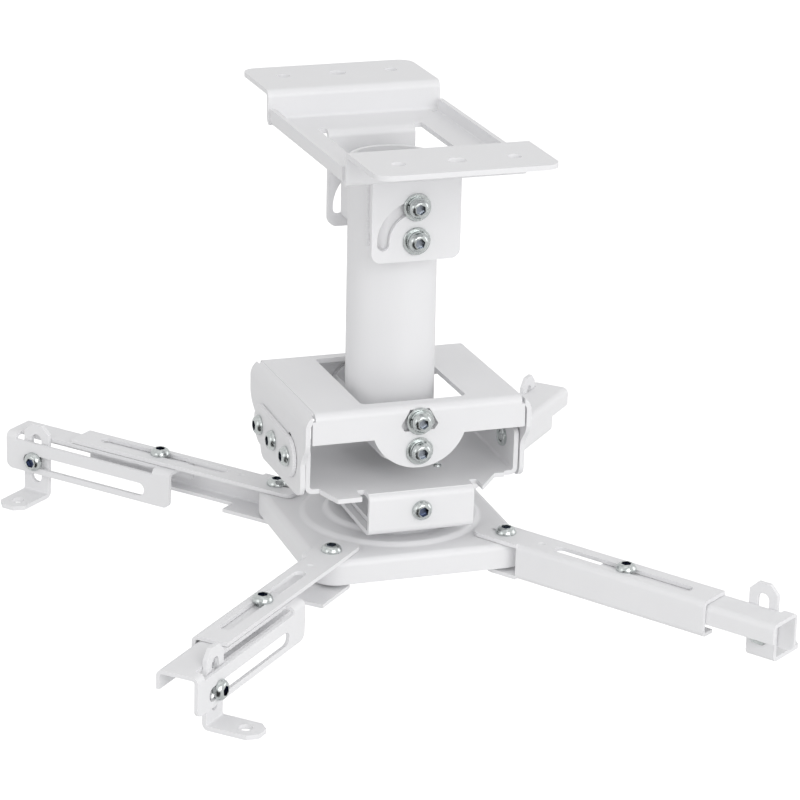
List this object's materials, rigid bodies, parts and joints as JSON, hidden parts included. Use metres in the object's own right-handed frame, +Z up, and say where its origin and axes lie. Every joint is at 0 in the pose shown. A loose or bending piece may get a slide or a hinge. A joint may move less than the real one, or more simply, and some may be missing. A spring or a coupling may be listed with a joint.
{
  "type": "projector ceiling mount",
  "caption": "White steel projector ceiling mount with a short tube, a tilting yoke and adjustable spider arms on a swivelling hub.",
  "frame": {"origin": "centre of the ceiling plate's mounting face, between its two flanges", "axes": "+Z up to the ceiling, +X along the flanges to the right, +Y to the back"},
  "size_m": [0.3309, 0.3586, 0.2453],
  "materials": {
    "powder_coat": "satin white powder coat",
    "zinc": "bright zinc plated steel"
  },
  "bodies": {
    "ceiling": {"ceiling_plate": "powder_coat"},
    "tube": {"tube": "powder_coat", "tube_bracket_front": "powder_coat", "tube_bracket_back": "powder_coat", "foot_bracket_front": "powder_coat", "foot_bracket_back": "powder_coat", "ceiling_bolts": "zinc", "ceiling_washers": "zinc", "ceiling_spring_washers": "zinc", "weld_nuts": "zinc", "roll_bolts": "zinc", "roll_washers": "zinc", "roll_spring_washers": "zinc"},
    "upper_yoke": {"upper_yoke": "powder_coat"},
    "lower_yoke": {"lower_yoke": "powder_coat", "side_plate_left": "powder_coat", "side_plate_right": "powder_coat", "side_bolts_left": "zinc", "side_bolts_right": "zinc", "lock_screw": "zinc"},
    "slide_plate": {"slide_plate": "powder_coat", "lock_nut": "zinc", "swivel_stud": "zinc", "swivel_nut": "zinc", "swivel_spacer": "zinc"},
    "hub": {"hub": "powder_coat", "hub_sleeves": "zinc"},
    "arm_left": {"arm_left": "powder_coat", "pivot_screw_left": "zinc", "pivot_nut_left": "zinc"},
    "slider_left": {"slider_left": "powder_coat", "slot_screw_left": "zinc"},
    "clamp_left": {"clamp_screw_left": "zinc", "clamp_nut_left": "zinc"},
    "leg_left": {"leg_left": "powder_coat"},
    "arm_front": {"arm_front": "powder_coat", "pivot_screw_front": "zinc", "pivot_nut_front": "zinc"},
    "slider_front": {"slider_front": "powder_coat", "slot_screw_front": "zinc"},
    "clamp_front": {"clamp_screw_front": "zinc", "clamp_nut_front": "zinc"},
    "leg_front": {"leg_front": "powder_coat"},
    "arm_right": {"arm_right": "powder_coat", "pivot_screw_right": "zinc", "pivot_nut_right": "zinc"},
    "slider_right": {"slider_right": "powder_coat", "slot_screw_right": "zinc"},
    "clamp_right": {"clamp_screw_right": "zinc", "clamp_nut_right": "zinc"},
    "leg_right": {"leg_right": "powder_coat"},
    "arm_back": {"arm_back": "powder_coat", "pivot_screw_back": "zinc", "pivot_nut_back": "zinc"},
    "slider_back": {"slider_back": "powder_coat", "slot_screw_back": "zinc"},
    "clamp_back": {"clamp_screw_back": "zinc", "clamp_nut_back": "zinc"},
    "leg_back": {"leg_back": "powder_coat"}
  },
  "joints": [
    {"name": "ceiling_tilt", "type": "hinge", "parent": "ceiling", "child": "tube", "pos_m": [0, 0, -0.0547], "axis": [0, -1, 0], "range_deg": [0, 90]},
    {"name": "roll", "type": "hinge", "parent": "tube", "child": "upper_yoke", "pos_m": [0, 0, -0.1595], "axis": [0, 1, 0], "range_deg": [-10, 10]},
    {"name": "tilt", "type": "hinge", "parent": "upper_yoke", "child": "lower_yoke", "pos_m": [0, 0, -0.164], "axis": [1, 0, 0], "range_deg": [-9.5, 14]},
    {"name": "quick_release_slide", "type": "slide", "parent": "lower_yoke", "child": "slide_plate", "axis": [0, 0.9994, 0.0349], "range_m": [0, 0.015]},
    {"name": "swivel", "type": "hinge", "parent": "slide_plate", "child": "hub", "pos_m": [0, -0.00399, -0.20727], "axis": [0, -0.0349, 0.9994], "continuous": true},
    {"name": "swing_left", "type": "hinge", "parent": "hub", "child": "arm_left", "pos_m": [-0.046, 0.0419, -0.20336], "axis": [0, -0.0349, 0.9994], "range_deg": [-34.8, 45.2]},
    {"name": "reach_left", "type": "slide", "parent": "arm_left", "child": "slider_left", "axis": [-0.6401, 0.7678, 0.0268], "range_m": [-0.0374, 0.03435]},
    {"name": "clamp_slide_left", "type": "slide", "parent": "slider_left", "child": "clamp_left", "axis": [-0.6401, 0.7678, 0.0268], "range_m": [-0.068, 0.0032]},
    {"name": "leg_lift_left", "type": "slide", "parent": "clamp_left", "child": "leg_left", "axis": [0, -0.0349, 0.9994], "range_m": [-0.01125, 0.00925]},
    {"name": "swing_front", "type": "hinge", "parent": "hub", "child": "arm_front", "pos_m": [-0.046, -0.05004, -0.20657], "axis": [0, -0.0349, 0.9994], "range_deg": [-39.7, 40.3]},
    {"name": "reach_front", "type": "slide", "parent": "arm_front", "child": "slider_front", "axis": [-0.7108, -0.703, -0.0245], "range_m": [-0.036, 0.03575]},
    {"name": "clamp_slide_front", "type": "slide", "parent": "slider_front", "child": "clamp_front", "axis": [-0.7108, -0.703, -0.0245], "range_m": [-0.065, 0.0062]},
    {"name": "leg_lift_front", "type": "slide", "parent": "clamp_front", "child": "leg_front", "axis": [0, -0.0349, 0.9994], "range_m": [-0.01275, 0.00775]},
    {"name": "swing_right", "type": "hinge", "parent": "hub", "child": "arm_right", "pos_m": [0.046, -0.05004, -0.20657], "axis": [0, -0.0349, 0.9994], "range_deg": [-29.5, 50.5]},
    {"name": "reach_right", "type": "slide", "parent": "arm_right", "child": "slider_right", "axis": [0.5664, -0.8236, -0.0288], "range_m": [-0.0366, 0.03515]},
    {"name": "clamp_slide_right", "type": "slide", "parent": "slider_right", "child": "clamp_right", "axis": [0.5664, -0.8236, -0.0288], "range_m": [-0.069, 0.0022]},
    {"name": "leg_lift_right", "type": "slide", "parent": "clamp_right", "child": "leg_right", "axis": [0, -0.0349, 0.9994], "range_m": [-0.01675, 0.00375]},
    {"name": "swing_back", "type": "hinge", "parent": "hub", "child": "arm_back", "pos_m": [0.046, 0.0419, -0.20336], "axis": [0, -0.0349, 0.9994], "range_deg": [-41, 39]},
    {"name": "reach_back", "type": "slide", "parent": "arm_back", "child": "slider_back", "axis": [0.6947, 0.7189, 0.0251], "range_m": [-0.026, 0.04575]},
    {"name": "clamp_slide_back", "type": "slide", "parent": "slider_back", "child": "clamp_back", "axis": [0.6947, 0.7189, 0.0251], "range_m": [-0.0705, 0.0007]},
    {"name": "leg_lift_back", "type": "slide", "parent": "clamp_back", "child": "leg_back", "axis": [0, -0.0349, 0.9994], "range_m": [-0.01325, 0.00725]}
  ]
}
